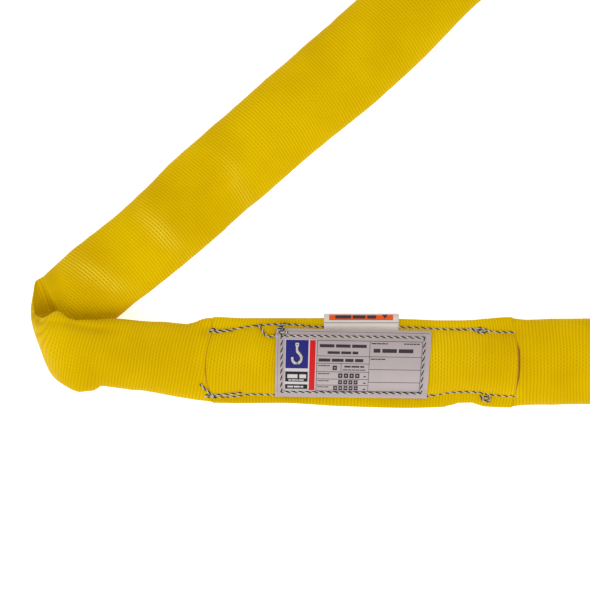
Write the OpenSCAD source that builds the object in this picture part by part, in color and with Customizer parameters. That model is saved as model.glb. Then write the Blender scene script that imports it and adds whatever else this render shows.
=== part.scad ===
/* [Sling] */
// Width of the flattened jacket, mm
flat_w = 64; // [56:1:68]
// Thickness of the relaxed jacket, mm
thick = 18; // [16:0.5:19]
// Jacket wall, mm
wall = 1.2; // [0.8:0.1:1.6]
// Diameter of each core bundle, mm
bundle_d = 4.4; // [3:0.1:4.5]

/* [Layout] */
// Mean radius of the stored coil, mm
coil_r = 230; // [225:1:260]
// Radius of the folded end, mm
fold_r = 13; // [12.5:0.5:16]
// Radius of the bend above the upper leg, mm
bend_r = 120; // [100:5:140]

/* [Joint sleeve] */
// Half length of the joint sleeve, mm
sleeve_l = 116; // [110:1:118]
// Width of the joint sleeve over its hems, mm
sleeve_w = 63; // [60:1:64]
// Width of the sleeve between its hems, mm
crown_w = 45; // [44:0.5:46]
// Sleeve cloth, mm
sleeve_t = 0.8; // [0.6:0.1:1]

/* [Labels] */
// Label length, mm
label_l = 116; // [100:1:120]
// Vinyl thickness, mm
vinyl = 0.5; // [0.4:0.05:0.6]
// Warning tag width, mm
tag_w = 55; // [45:1:60]

/* [Stitches] */
// Stitch pitch, mm
pitch = 5; // [4:0.5:6]
// Thread diameter, mm
thread = 1; // [0.8:0.1:1.2]

/* [Hidden] */

function unit(v) = v / norm(v);
function ease(t) = let (c = min(1, max(0, t))) c * c * (3 - 2 * c);

// the route of the band's middle, starting at the jacket's joint
half_t = thick / 2;
top_z = thick * 1.5 + 1;
seat_z = half_t + sleeve_t;
coil_x = 212 + coil_r;
coil_top = 2 * coil_r - 15;
leg_a = 41.2;
leg_x = -123.75;
leg_y = 123.4;
bend_x = leg_x + (coil_top - leg_y) / tan(leg_a) + bend_r * tan(leg_a / 2);
turn_x = -225.1;
turn_y = 34.7;
in_a = 221.2;
out_a = -8;
axis_a = (in_a + out_a + 180) / 2;
rise = -PI * fold_r * tan(in_a - axis_a);
out_v = [cos(axis_a), sin(axis_a), 0];
along_v = [cos(axis_a - 90), sin(axis_a - 90), 0];

start_run = [[1, 0, seat_z], [58, 0, seat_z], [117.5, 0, seat_z], [127, 0, half_t + 0.3]];
lower_run = [for (k = [0 : 6]) [145 + (coil_x - 145) * k / 7, 0, half_t]];
coil_run = [for (k = [0 : 45]) let (a = -90 + 12 * k, r = coil_r - 15 * ease((a - 225) / 75))
  [coil_x + r * cos(a), coil_r + r * sin(a), half_t + (top_z - half_t) * ease((a - 175) / 47)]];
top_run = [for (k = [1 : 3]) [coil_x + (bend_x - coil_x) * k / 3, coil_top, top_z]];
bend_run = [for (k = [1 : 3]) let (b = leg_a * k / 3)
  [bend_x - bend_r * sin(b), coil_top - bend_r + bend_r * cos(b), top_z + (half_t - top_z) * ease((bend_r * b * PI / 180 - 10) / 150)]];
leg_0 = bend_run[2];
leg_v = [turn_x, turn_y, 0] - [leg_0[0], leg_0[1], 0];
leg_run = [for (k = [1 : 9]) let (p = [leg_0[0], leg_0[1], 0] + leg_v * k / 9, s = bend_r * leg_a * PI / 180 + norm(leg_v) * k / 9)
  [p[0], p[1], top_z + (half_t - top_z) * ease((s - 10) / 150)]];
fold_c = [turn_x, turn_y, half_t + fold_r];
fold_run = [for (k = [1 : 8]) let (f = k * 22.5)
  fold_c + along_v * rise * k / 8 + fold_r * (sin(f) * out_v - cos(f) * [0, 0, 1])];
drop_0 = fold_run[7];
drop_run = [for (p = [[-205, 34], [-190, 30.5], [-175, 25.5], [-160, 19.5], [-145, 14], [-132, 10.5]])
  [p[0], drop_0[1] * (p[0] + 124) / (drop_0[0] + 124), p[1]]];
end_run = [[-124, 0, half_t + 0.3], [-117.5, 0, seat_z], [-58, 0, seat_z], [-1, 0, seat_z]];
route = concat(start_run, lower_run, coil_run, top_run, bend_run, leg_run, fold_run, drop_run, end_run);
last = len(route) - 1;
fold_i = last - len(fold_run) - len(drop_run) - len(end_run);
fold_len = len(fold_run);

// each ring's frame: along the band, across it, and through its thickness
function run_dir(i) = i < 2 || i > last - 2 ? [1, 0, 0] : unit(route[i + 1] - route[i - 1]);
function face_dir(i) = i <= fold_i ? [0, 0, 1] : i > fold_i + fold_len ? [0, 0, -1]
  : let (f = (i - fold_i) * 22.5) cos(f) * [0, 0, 1] - sin(f) * out_v;
dirs = [for (i = [0 : last]) run_dir(i)];
sides = [for (i = [0 : last]) unit(cross(dirs[i], face_dir(i)))];
faces = [for (i = [0 : last]) cross(sides[i], dirs[i])];
narrow = (crown_w - 2 * sleeve_t - 2.4) / flat_w;
function squeeze(i) = abs(route[i][0]) < 118 && route[i][1] < 1 && route[i][1] > -1 ? narrow
  : abs(route[i][0]) < 128 && route[i][1] < 1 && route[i][1] > -1 ? (1 + narrow) / 2 : 1;
squeezes = [for (i = [0 : last]) squeeze(i)];

// a flattened round section with flat strips at its top and bottom
sec_n = 12;
function spow(v, e) = sign(v) * pow(abs(v), e);
function section(w, t) = [for (k = [0 : sec_n - 1]) let (a = 15 + 30 * k)
  [w / pow(cos(15), 0.78) * spow(cos(a), 0.78), t / pow(sin(75), 0.78) * spow(sin(a), 0.78)]];
function ring(i, pts) = [for (p = pts) route[i] + sides[i] * p[0] + faces[i] * p[1]];
function outer_ring(i) = ring(i, section(flat_w / 2 * squeezes[i], half_t - (squeezes[i] < 0.9 ? 0.6 : 0)));
function inner_ring(i) = ring(i, section(flat_w / 2 * squeezes[i] - wall, half_t - wall - (squeezes[i] < 0.9 ? 0.6 : 0)));
outer = [for (i = [0 : last]) each outer_ring(i)];
inner = [for (i = [0 : last]) each inner_ring(i)];

// the whole is moved so that its origin is under the middle of its box
low_x = min([for (p = outer) p[0]]);
high_x = max([for (p = outer) p[0]]);
low_y = min([for (p = outer) p[1]]);
high_y = max([for (p = outer) p[1]]);
home = [-(low_x + high_x) / 2, -(low_y + high_y) / 2, 0];

function quad_up(a, n, m) = [for (i = [0 : m - 2]) for (k = [0 : n - 1]) let (j = (k + 1) % n, q = a + i * n)
  each [[q + k, q + n + k, q + j], [q + j, q + n + k, q + n + j]]];
function quad_down(a, n, m) = [for (f = quad_up(a, n, m)) [f[2], f[1], f[0]]];

module jacket() {
  m = last + 1;
  n = sec_n;
  b = m * n;
  color([0.86, 0.69, 0.02]) translate(home) polyhedron(points = concat(outer, inner),
    faces = concat(quad_down(0, n, m), quad_up(b, n, m),
      [for (k = [0 : n - 1]) let (j = (k + 1) % n) each [[k, b + k, j], [j, b + k, b + j]]],
      [for (k = [0 : n - 1]) let (j = (k + 1) % n, q = (m - 1) * n) each [[q + j, b + q + k, q + k], [b + q + j, b + q + k, q + j]]]));
}

// a core bundle; a pair goes round twice, once on each side of the middle
function bundle_ring(i, off, turn) = [for (k = [0 : 5]) let (a = 60 * k + turn)
  route[i] + sides[i] * (off * squeezes[i] + bundle_d / 2 * cos(a)) + faces[i] * bundle_d / 2 * sin(a)];
module bundle(off, laps) {
  m = (last + 1) * laps;
  pts = concat([for (i = [0 : last]) each bundle_ring(i, off, 0)],
    laps == 2 ? [for (i = [0 : last]) each bundle_ring(i, -off, 180)] : []);
  q = (m - 1) * 6;
  s = laps == 2 ? 0 : 3;
  color([0.93, 0.92, 0.88]) translate(home) polyhedron(points = pts, faces = concat(quad_down(0, 6, m),
    [for (k = [0 : 5]) let (j = (k + 1) % 6, u = (k + s) % 6, v = (j + s) % 6)
      each [[q + j, u, q + k], [v, u, q + j]]]));
}
module core_outer_pair() { bundle(21, 2); }
module core_middle_pair() { bundle(14, 2); }
module core_inner_pair() { bundle(7, 2); }
module core_centre() { bundle(0, 1); }

// height of the sleeve's cloth above its middle, across the sling
hem = 1;
function crown(y) = let (u = abs(y) / (crown_w / 2)) u >= 1 ? hem : min(seat_z, hem + 10.6 * pow(1 - u * u, 0.55));
function slope(y) = atan((crown(y + 0.3) - crown(y - 0.3)) / 0.6);
steps = [-31.5, -22.5, -22, -21, -19.5, -17.5, -15, -12, 12, 15, 17.5, 19.5, 21, 22, 22.5, 31.5];
module along(l, pts) { translate(home + [-l / 2, 0, seat_z]) rotate([90, 0, 90]) linear_extrude(l) polygon(pts); }
module joint_sleeve() {
  w = sleeve_w / 31.5 / 2;
  inside = [for (y = steps) if (abs(y) < 22) y];
  color([0.84, 0.67, 0.02]) difference() {
    along(2 * sleeve_l, concat([for (y = steps) [abs(y) > 25 ? y * w : y, -crown(y)]],
      [for (k = [len(steps) - 1 : -1 : 0]) let (y = steps[k]) [abs(y) > 25 ? y * w : y, crown(y)]]));
    along(2 * sleeve_l + 2, concat([for (y = inside) [y, sleeve_t - crown(y)]],
      [for (k = [len(inside) - 1 : -1 : 0]) let (y = inside[k]) [y, crown(y) - sleeve_t]]));
  }
}

// the label lies over the crown and the lower hem; its top edge rides on the warning tag
function lift(y) = crown(y) + (y > 19 ? vinyl + 0.2 : 0.1);
label_y = [-27, -22.5, -22, -21, -19.5, -17.5, -15, -12, 12, 15, 17.5, 18.9, 19.1, 21, 22, 22.5, 23.6];
module label() {
  n = len(label_y) - 1;
  color([0.72, 0.68, 0.69]) along(label_l, concat([for (y = label_y) [y, lift(y) + 0.05]],
    [for (k = [n : -1 : 0]) [label_y[k], lift(label_y[k]) + 0.05 + vinyl]]));
}

// the warning tag's front part, and the flap that is folded behind
tag_y = [20, 21, 22, 22.5, 31.5, 33.6, 34.8];
function tag_z(y) = (y > 33 ? (y > 34 ? 0.7 : hem * 0.8) : crown(y)) + 0.1;
module tag_strip(a, pts) {
  n = len(pts) - 1;
  translate([a, 0, 0]) along(tag_w, concat(pts, [for (k = [n : -1 : 0]) pts[k] + [k > n - 1 ? 0.5 : 0, vinyl]]));
}
module warning_tag() {
  color([0.73, 0.69, 0.66]) tag_strip(0, [for (y = tag_y) [y, tag_z(y)]]);
}
flap_y = [14.6, 17.5, 19.5, 21, 22, 22.5, 31.5, 33.6, 34.8];
module warning_flap() {
  color([0.73, 0.69, 0.66]) mirror([0, 0, 1]) translate([0, 0, -2 * seat_z])
    tag_strip(0, [for (y = flap_y) [y, (y > 23 ? (y > 33 ? tag_z(y) : hem + 0.4) : crown(y) + 0.4)]]);
}

// rows of stitches lying on a surface whose height is h
module dash(x, y, h, turn, l) {
  translate(home + [x, y, seat_z + h]) rotate([0, 0, turn]) rotate([0, 90, 0]) cylinder(d = thread, h = l, center = true, $fn = 8);
}
module row(x0, x1, y, h) {
  n = max(1, round((x1 - x0) / pitch));
  for (k = [0 : n - 1]) dash(x0 + (k + 0.5) * (x1 - x0) / n, y, h, 0, pitch * 0.68);
}
sit = thread / 2 + 0.05;
module black() { color([0.12, 0.11, 0.11]) children(); }
module top_hem_stitch() {
  black() { row(-109, -30, 27, hem + sit); row(31, 92, 27, hem + sit); row(-109, -30, 27, -hem - sit); row(31, 92, 27, -hem - sit); }
}
module bottom_hem_stitch() {
  black() { row(-100, -66, -24.6, hem + sit); row(60, 92, -24.6, hem + sit); row(-100, 92, -24.6, -hem - sit); }
}
module label_stitch() {
  a = label_l / 2 - 4.5;
  black() {
    row(-a, a, 17.6, lift(17) + vinyl + sit);
    row(-a, a, -24.6, lift(-24) + vinyl + sit + 0.05);
    for (s = [-1, 1]) for (y = [-9 : pitch : 11]) dash(s * a, y, lift(0) + vinyl + sit + 0.05, 90, pitch * 0.68);
  }
}
module backtack_top_left() { black() { row(-115.5, -110.5, 26, hem + sit); row(-115.5, -95.5, 29, hem + sit); } }
module backtack_top_right() { black() { row(93, 113, 27, hem + sit); row(86, 106, 25, hem + sit); } }
module backtack_bottom_left() { black() { row(-115, -102, -24.3, hem + sit); row(-112, -92, -27, hem + sit); } }
module knot_bottom_right() { black() { row(93, 115, -24.6, hem + sit); row(88, 98, -27.4, hem + sit); row(90, 96, -29.6, hem + sit); } }

// loose thread ends
module strand(pts) {
  m = len(pts) - 1;
  r = thread / 2;
  p = [for (i = [0 : m]) let (d = unit(pts[min(m, i + 1)] - pts[max(0, i - 1)]), s = unit(cross(d, [0, 0, 1])), u = cross(s, d))
    each [for (k = [0 : 5]) pts[i] + r * (cos(60 * k) * s + sin(60 * k) * u)]];
  black() translate(home + [0, 0, seat_z]) polyhedron(points = p,
    faces = concat(quad_down(0, 6, m + 1), [[5, 4, 3, 2, 1, 0]], [[for (k = [0 : 5]) m * 6 + k]]));
}
module thread_tail() {
  strand([[-122.5, -13, 9.2], [-119.5, -16, 9.2], [-116, -19, 9], [-113, -21.5, 6.5], [-110.6, -23.2, 3.5], [-108.6, -25.2, 2.9]]);
}
module thread_loop() {
  strand([[-85, 25, 1.8], [-81, 21.4, 5.6], [-78.5, 18.4, 9.3], [-75.5, 17.6, 9.8], [-69, 18.2, 9.6], [-65.5, 18.6, 9.4], [-63.6, 20.6, 7.6], [-60.5, 24, 2.4]]);
}

jacket();
core_outer_pair();
core_middle_pair();
core_inner_pair();
core_centre();
joint_sleeve();
label();
warning_tag();
warning_flap();
top_hem_stitch();
bottom_hem_stitch();
label_stitch();
backtack_top_left();
backtack_top_right();
backtack_bottom_left();
knot_bottom_right();
thread_tail();
thread_loop();
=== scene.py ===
import math
import random

import bpy
import numpy as np
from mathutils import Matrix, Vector, noise


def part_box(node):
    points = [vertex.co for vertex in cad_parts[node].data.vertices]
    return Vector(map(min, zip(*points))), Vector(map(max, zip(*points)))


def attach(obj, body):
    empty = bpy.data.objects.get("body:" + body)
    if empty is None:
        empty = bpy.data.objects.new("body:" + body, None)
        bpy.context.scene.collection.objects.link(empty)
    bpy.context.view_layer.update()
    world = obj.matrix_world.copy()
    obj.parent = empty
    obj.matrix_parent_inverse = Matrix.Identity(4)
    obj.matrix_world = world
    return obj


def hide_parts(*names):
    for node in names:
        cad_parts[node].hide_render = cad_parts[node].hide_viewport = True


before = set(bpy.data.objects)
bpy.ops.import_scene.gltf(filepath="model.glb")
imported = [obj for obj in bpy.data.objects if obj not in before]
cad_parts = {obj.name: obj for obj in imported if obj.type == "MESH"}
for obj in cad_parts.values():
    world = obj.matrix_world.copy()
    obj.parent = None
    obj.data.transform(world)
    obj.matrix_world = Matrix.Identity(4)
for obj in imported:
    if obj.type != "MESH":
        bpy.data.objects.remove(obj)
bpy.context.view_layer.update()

mm = 0.001
sleeveLow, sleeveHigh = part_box("joint_sleeve")
# the middle of the joint sleeve; places below are measured from it, in mm
jointAt = (sleeveLow + sleeveHigh) / 2
midHeight = jointAt.z / mm


def place(x, y, z):
    return (jointAt.x + x * mm, jointAt.y + y * mm, z * mm)


def placed(points):
    return np.array(points) * mm + np.array((jointAt.x, jointAt.y, 0))


def ease(t):
    t = np.clip(t, 0, 1)
    return t * t * (3 - 2 * t)


# a smooth curve through rows of numbers, without overshoot unless it is free
def through(rows, at, free=False):
    rows = np.array(rows, float)
    x, y = rows[:, 0], rows[:, 1:]
    step = np.diff(x)
    rise = np.diff(y, axis=0) / step[:, None]
    tangent = np.zeros_like(y)
    tangent[0], tangent[-1] = rise[0], rise[-1]
    for k in range(1, len(x) - 1):
        if free:
            tangent[k] = (rise[k - 1] * step[k] + rise[k] * step[k - 1]) / (step[k - 1] + step[k])
            continue
        same = rise[k - 1] * rise[k] > 0
        mean = 2 * rise[k - 1] * rise[k] / np.where(same, rise[k - 1] + rise[k], 1)
        tangent[k] = np.where(same, mean, 0)
    at = np.clip(np.atleast_1d(np.asarray(at, float)), x[0], x[-1])
    i = np.clip(np.searchsorted(x, at, side="right") - 1, 0, len(x) - 2)
    h = step[i][:, None]
    t = ((at - x[i]) / step[i])[:, None]
    a = (2 * t**3 - 3 * t**2 + 1) * y[i] + (t**3 - 2 * t**2 + t) * h * tangent[i]
    b = (-2 * t**3 + 3 * t**2) * y[i + 1] + (t**3 - t**2) * h * tangent[i + 1]
    return a + b


def lengthsAlong(places):
    return np.concatenate(([0], np.cumsum(np.linalg.norm(np.diff(places, axis=0), axis=1))))


def wave(x, y, size, seed):
    return noise.noise(Vector((x / size, y / size, seed)))


# the camera looks straight down, a long way up, so the view is almost flat
cameraLook = {"east": -48.75, "north": 49.5, "wide": 442.5, "height": 3000}
cameraData = bpy.data.cameras.new("camera")
cameraData.sensor_width = 36
cameraData.lens = 18 * cameraLook["height"] / (cameraLook["wide"] / 2)
camera = bpy.data.objects.new("camera", cameraData)
bpy.context.scene.collection.objects.link(camera)
camera.location = place(cameraLook["east"], cameraLook["north"], cameraLook["height"])
bpy.context.scene.camera = camera
bpy.context.scene.view_settings.view_transform = "Standard"
print("camera placed")


# the band's route
band = {
    "halfWidth": 32,
    "halfThick": 9,
    "coilRadius": 230,
    "coilInset": 15,
    "bendRadius": 120,
    "foldHeight": 12.8,
    "foldReach": 15,
    "legAngle": 41.2,
    "legPoint": (-123.75, 123.4),
    "turnPoint": (-225.1, 34.7),
    "foldAxis": 20,
    "coilStart": 212,
    "coilDrop": 150,
    "perimeter": 140,
}
# the fold: how far round it, its two edges along the fold's axis, half thickness
foldTurn = [
    (15, 30.5, -34, 6.8),
    (30, 29.5, -36, 5.8),
    (45, 24, -37.5, 5.6),
    (60, 18.5, -39, 5.9),
    (75, 13.5, -40.5, 6.3),
    (90, 9, -42, 6.6),
    (105, 5, -45, 6.8),
    (120, 2.6, -48.4, 7),
    (135, 2, -52.2, 7),
    (150, 2.2, -56.6, 7),
    (165, 2.8, -59.4, 7.1),
    (180, 3.2, -60.5, 7.2),
]
# the labelled leg: east, its two edges, height of its middle, half thickness, how flat it is sewn
labelledLeg = [
    (-206, 33.4, -22.8, 33.2, 7.4, 0),
    (-200.5, 32.2, -19.8, 31.9, 7.7, 0),
    (-192, 32, -19.6, 29.9, 7.7, 0),
    (-179, 32, -20.5, 26, 8, 0),
    (-165, 30.5, -22, 21.5, 8.4, 0),
    (-150, 29.5, -23.5, 16, 8.6, 0),
    (-136, 28.2, -26.5, 12, 8.8, 0),
    (-132, 28, -27.4, 11.4, 8.5, 0),
    (-122, 29.4, -29, 9.9, 7.6, 0.1),
    (-112, 32.4, -30.5, 9.8, 8.8, 1),
    (-87, 31.6, -30.8, 9.8, 8.8, 1),
    (-60, 31.6, -30.6, 9.8, 8.8, 1),
    (-15, 31.6, -33, 9.8, 8.8, 1),
    (36, 30.8, -34.3, 9.8, 8.8, 1),
    (62, 29.9, -33.6, 9.8, 8.8, 1),
    (72, 29.9, -30.6, 9.8, 8.8, 1),
    (84, 30.2, -30.4, 9.8, 8.8, 1),
    (93, 31, -33.2, 9.8, 8.8, 1),
    (112, 32.3, -34, 9.8, 8.8, 1),
    (121, 31, -32.6, 9.4, 7.2, 0.1),
    (127, 30.8, -32.2, 9.2, 8.2, 0),
    (136, 31, -32.2, 9, 9, 0),
    (172, 32, -32, 9, 9, 0),
]
# the two hem seams: east, north
topSeamRows = [
    (-120, 22.6), (-106, 22.8), (-95, 23.8), (-85, 25.6), (-74, 26.9), (-63, 27.5), (-52, 27.5),
    (-42, 26.6), (-29, 25.5), (28, 25.4), (45, 24.9), (59, 23.9), (82, 23.6), (102, 21.9), (120, 21.2),
]
bottomSeamRows = [
    (-120, -25.8), (-108, -26.6), (-97, -26.2), (-85, -25), (-74, -24.4), (-62, -25.4),
    (50, -26), (64, -23.6), (79, -22.6), (91, -23.6), (102, -25.4), (120, -26),
]
# how the upper leg wavers: distance from the fold, shift to the south-east, extra half width
legWaver = [
    (0, 0, 0), (20, -0.2, 0.2), (40, 0.5, -0.5), (55, 1.1, -1.4), (70, 1.8, -1.1),
    (87, 2.6, -0.8), (103, 2.5, -0.5), (118, 2.4, 0), (132, 1.8, 0.8), (164, 1.5, 1),
    (195, 1.6, 1.2), (227, 1.8, 1.2), (270, 2.5, 2), (300, 2.7, 2.2), (380, 0, 0),
]


# rows of east, north, height, half width, half thickness, turn of the face,
# how flat it is sewn and how far it leans to the fold
def bandRows():
    hw, ht, big = band["halfWidth"], band["halfThick"], band["coilRadius"]
    top = ht * 3 + 1
    coilEast, coilTop = band["coilStart"] + big, 2 * big - band["coilInset"]
    rows = []
    for x, north, south, z, thick, sewn in labelledLeg:
        if x > 0:
            rows.append((x, (north + south) / 2, z, (north - south) / 2, thick, 0, sewn, 0))
    for x in np.linspace(200, coilEast, 7)[:-1]:
        rows.append((x, 0, ht, hw, ht, 0, 0, 0))
    for k in range(91):  # a turn and a half of the coil
        a = -90 + 6 * k
        r = big - band["coilInset"] * ease((a - 225) / 75)
        z = ht + (top - ht) * ease((a - 175) / 47)
        c, s = math.cos(math.radians(a)), math.sin(math.radians(a))
        rows.append((coilEast + r * c, big + r * s, z, hw, ht, 0, 0, 0))
    angle, soft = band["legAngle"], band["bendRadius"]
    px, py = band["legPoint"]
    bendEast = px + (coilTop - py) / math.tan(math.radians(angle)) + soft * math.tan(math.radians(angle / 2))
    for x in np.linspace(coilEast, bendEast, 5)[1:]:
        rows.append((x, coilTop, top, hw, ht, 0, 0, 0))
    for k in range(1, 7):
        b = math.radians(angle * k / 6)
        z = top + (ht - top) * ease((soft * b - 10) / band["coilDrop"])
        rows.append((bendEast - soft * math.sin(b), coilTop - soft + soft * math.cos(b), z, hw, ht, 0, 0, 0))
    start, bendRun = np.array(rows[-1][:2]), soft * math.radians(angle)
    turn = np.array(band["turnPoint"])
    run = np.linalg.norm(turn - start)
    southEast = np.array((math.sin(math.radians(angle)), -math.cos(math.radians(angle))))
    for along in list(np.linspace(0, run - 390, 6)[1:]) + list(np.arange(run - 375, run + 1, 15)):
        shift, extra = through(legWaver, run - along)[0]
        p = start + (turn - start) * along / run + southEast * shift
        z = top + (ht - top) * ease((bendRun + along - 10) / band["coilDrop"])
        near = float(ease((along - run + 90) / 90))
        rows.append((p[0], p[1], z, hw - 0.8 + 0.4 * near + extra, ht - 0.6 * near, 0, 0, near))
    # the fold winds once round a short axis while it creeps along it
    axis = math.radians(180 + band["foldAxis"])
    outward = np.array((math.cos(axis), math.sin(axis), 0))
    sideways = np.array((math.sin(axis), -math.cos(axis), 0))
    tall, reach = band["foldHeight"], band["foldReach"]
    for around, north, south, thick in foldTurn:
        f = math.radians(around)
        p = np.array((*turn, ht)) + sideways * (north + south) / 2 + outward * reach * math.sin(f)
        rows.append((p[0], p[1], p[2] + tall * (1 - math.cos(f)), (north - south) / 2, thick, around, 0, 1))
    for x, north, south, z, thick, sewn in labelledLeg:
        if x < 0:
            leaning = float(ease((-150 - x) / 62))
            rows.append((x, (north + south) / 2, z, (north - south) / 2, thick, 180, sewn, leaning))
    first = rows[0]
    rows.append((first[0] - 1.5, first[1], first[2], first[3], first[4], 180, 1, 0))
    return np.array(rows)


# places along the band: close together where the cloth is seen best, further apart in the coil
def bandStations():
    rows = bandRows()
    reach = lengthsAlong(rows[:, :3])
    at = [0.0]
    while at[-1] < reach[-1]:
        k = min(int(np.searchsorted(reach, at[-1])), len(rows) - 1)
        folded = 0 < rows[k, 5] < 180
        seen = rows[k, 0] < 190 and rows[k, 1] < 300
        at.append(at[-1] + (1.4 if folded else 2.2 if seen else 7))
    at[-1] = reach[-1]
    at = np.array(at)
    spots = through(np.column_stack((reach, rows[:, :3])), at, free=True)
    shape = through(np.column_stack((reach, rows[:, 3:])), at)
    return at, spots, shape


# the sewn sleeve's surface, which the label, the tag and the threads lie on
sewn = {"hem": 1.1, "crown": 8.9, "sleeveCloth": 0.7, "puckerEvery": 9.0, "pucker": 0.35, "halfLength": 116}


def seams(x):
    return through(topSeamRows, x)[:, 0], through(bottomSeamRows, x)[:, 0]


def edges(x):
    rows = sorted((r[0], r[1], r[2]) for r in labelledLeg)
    out = through(rows, x)
    return out[:, 0], out[:, 1]


def puckers(x, y):
    x, y = np.broadcast_arrays(np.asarray(x, float), np.asarray(y, float))
    top, bottom = seams(x.ravel())
    near = np.minimum(np.abs(y.ravel() - top), np.abs(y.ravel() - bottom))
    pairs = list(zip(x.ravel(), y.ravel()))
    out = np.array([wave(a, b * 0.6, 11, 3.1) * 0.9 + wave(a, b, 27, 8.4) * 0.9 for a, b in pairs])
    wander = np.array([wave(a, 0, 31, 5.7) for a in x.ravel()])
    ripple = np.sin(2 * math.pi * x.ravel() / sewn["puckerEvery"] + 3 * wander)
    return (out * 0.45 + ripple * sewn["pucker"] * np.exp(-((near / 5) ** 2))).reshape(x.shape)


# height of the cloth over the band's middle plane where the sleeve is sewn
def clothHeight(x, y):
    x, y = np.broadcast_arrays(np.asarray(x, float), np.asarray(y, float))
    shape = x.shape
    x, y = x.ravel(), y.ravel()
    top, bottom = seams(x)
    north, south = edges(x)
    u = np.abs((2 * y - top - bottom) / (top - bottom))
    domed = sewn["hem"] + (sewn["crown"] - sewn["hem"]) * np.power(np.clip(1 - u**2.2, 0, 1), 0.6)
    edge = np.where(y > 0, north, south)
    seam = np.where(y > 0, top, bottom)
    out = np.clip((y - seam) / (edge - seam), 0, 1)
    flat = sewn["hem"] * np.sqrt(np.clip(1 - out**6, 0, 1))
    return np.where(u < 1, domed, flat).reshape(shape)


def clothTop(x, y):
    return midHeight + clothHeight(x, y) + sewn["sleeveCloth"] + puckers(x, y) * 0.7


def newMesh(name, points, faces, smooth=True):
    mesh = bpy.data.meshes.new(name)
    mesh.from_pydata([tuple(p) for p in points], [], [tuple(f) for f in faces])
    mesh.shade_smooth() if smooth else mesh.shade_flat()
    obj = bpy.data.objects.new(name, mesh)
    bpy.context.scene.collection.objects.link(obj)
    return obj


# rings of points joined into a closed tube, capped or looped back to its first ring
# the pattern runs round it, so the last column only ends the pattern
def tube(name, rings, uvs, looped=False):
    count, around = rings.shape[0], rings.shape[1] - 1
    faces, marks = [], []
    for i in range(count if looped else count - 1):
        j = (i + 1) % count
        for k in range(around):
            n = (k + 1) % around
            faces.append((i * around + k, j * around + k, j * around + n, i * around + n))
            marks += [uvs[i, k], uvs[j, k], uvs[j, k + 1], uvs[i, k + 1]]
    if not looped:
        for i, order in ((0, range(around)), (count - 1, range(around - 1, -1, -1))):
            faces.append([i * around + k for k in order])
            marks += [uvs[i, k] for k in order]
    obj = newMesh(name, placed(rings[:, :-1].reshape(-1, 3)), faces)
    layer = obj.data.uv_layers.new(name="weave")
    for loop, mark in zip(layer.data, marks):
        loop.uv = mark
    return obj


# materials
def newMaterial(name, colour, roughness):
    material = bpy.data.materials.new(name)
    material.use_nodes = True
    shader = material.node_tree.nodes["Principled BSDF"]
    shader.inputs["Base Color"].default_value = (*colour, 1)
    shader.inputs["Roughness"].default_value = roughness
    return material, material.node_tree, shader


def sums(tree, kind, a, b=0.0):
    node = tree.nodes.new("ShaderNodeMath")
    node.operation = kind
    for socket, value in zip(node.inputs, (a, b)):
        if isinstance(value, (int, float)):
            socket.default_value = value
        else:
            tree.links.new(value, socket)
    return node.outputs[0]


def blendColour(tree, share, a, b):
    node = tree.nodes.new("ShaderNodeMix")
    node.data_type = "RGBA"
    targets = [node.inputs[0], node.inputs[6], node.inputs[7]]
    for socket, value in zip(targets, (share, a, b)):
        if isinstance(value, (int, float)):
            socket.default_value = value
        elif isinstance(value, tuple):
            socket.default_value = (*value, 1)
        else:
            tree.links.new(value, socket)
    return node.outputs[2]


def shaded(colour, share):
    return tuple(min(1, share * c) for c in colour)


def clamped(tree, value):
    return sums(tree, "MINIMUM", sums(tree, "MAXIMUM", value, 0), 1)


def softNoise(tree, vector, scale, detail):
    node = tree.nodes.new("ShaderNodeTexNoise")
    node.inputs["Scale"].default_value = scale
    node.inputs["Detail"].default_value = detail
    tree.links.new(vector, node.inputs["Vector"])
    return node.outputs["Fac"]


def addBump(tree, shader, height, strength, distance):
    bump = tree.nodes.new("ShaderNodeBump")
    bump.inputs["Strength"].default_value = strength
    bump.inputs["Distance"].default_value = distance * mm
    tree.links.new(height, bump.inputs["Height"])
    tree.links.new(bump.outputs[0], shader.inputs["Normal"])


weave = {
    "rib": 2.5,
    "dot": 1.6,
    "ribDepth": 0.3,
    "upperLeg": 1.13,
    "sleeve": 1.07,
    "dark": (0.40, 0.215, 0.0003),
    "yellow": (0.615, 0.385, 0.0004),
    "light": (0.71, 0.47, 0.0006),
    "glint": (0.97, 0.76, 0.06),
}


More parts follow.
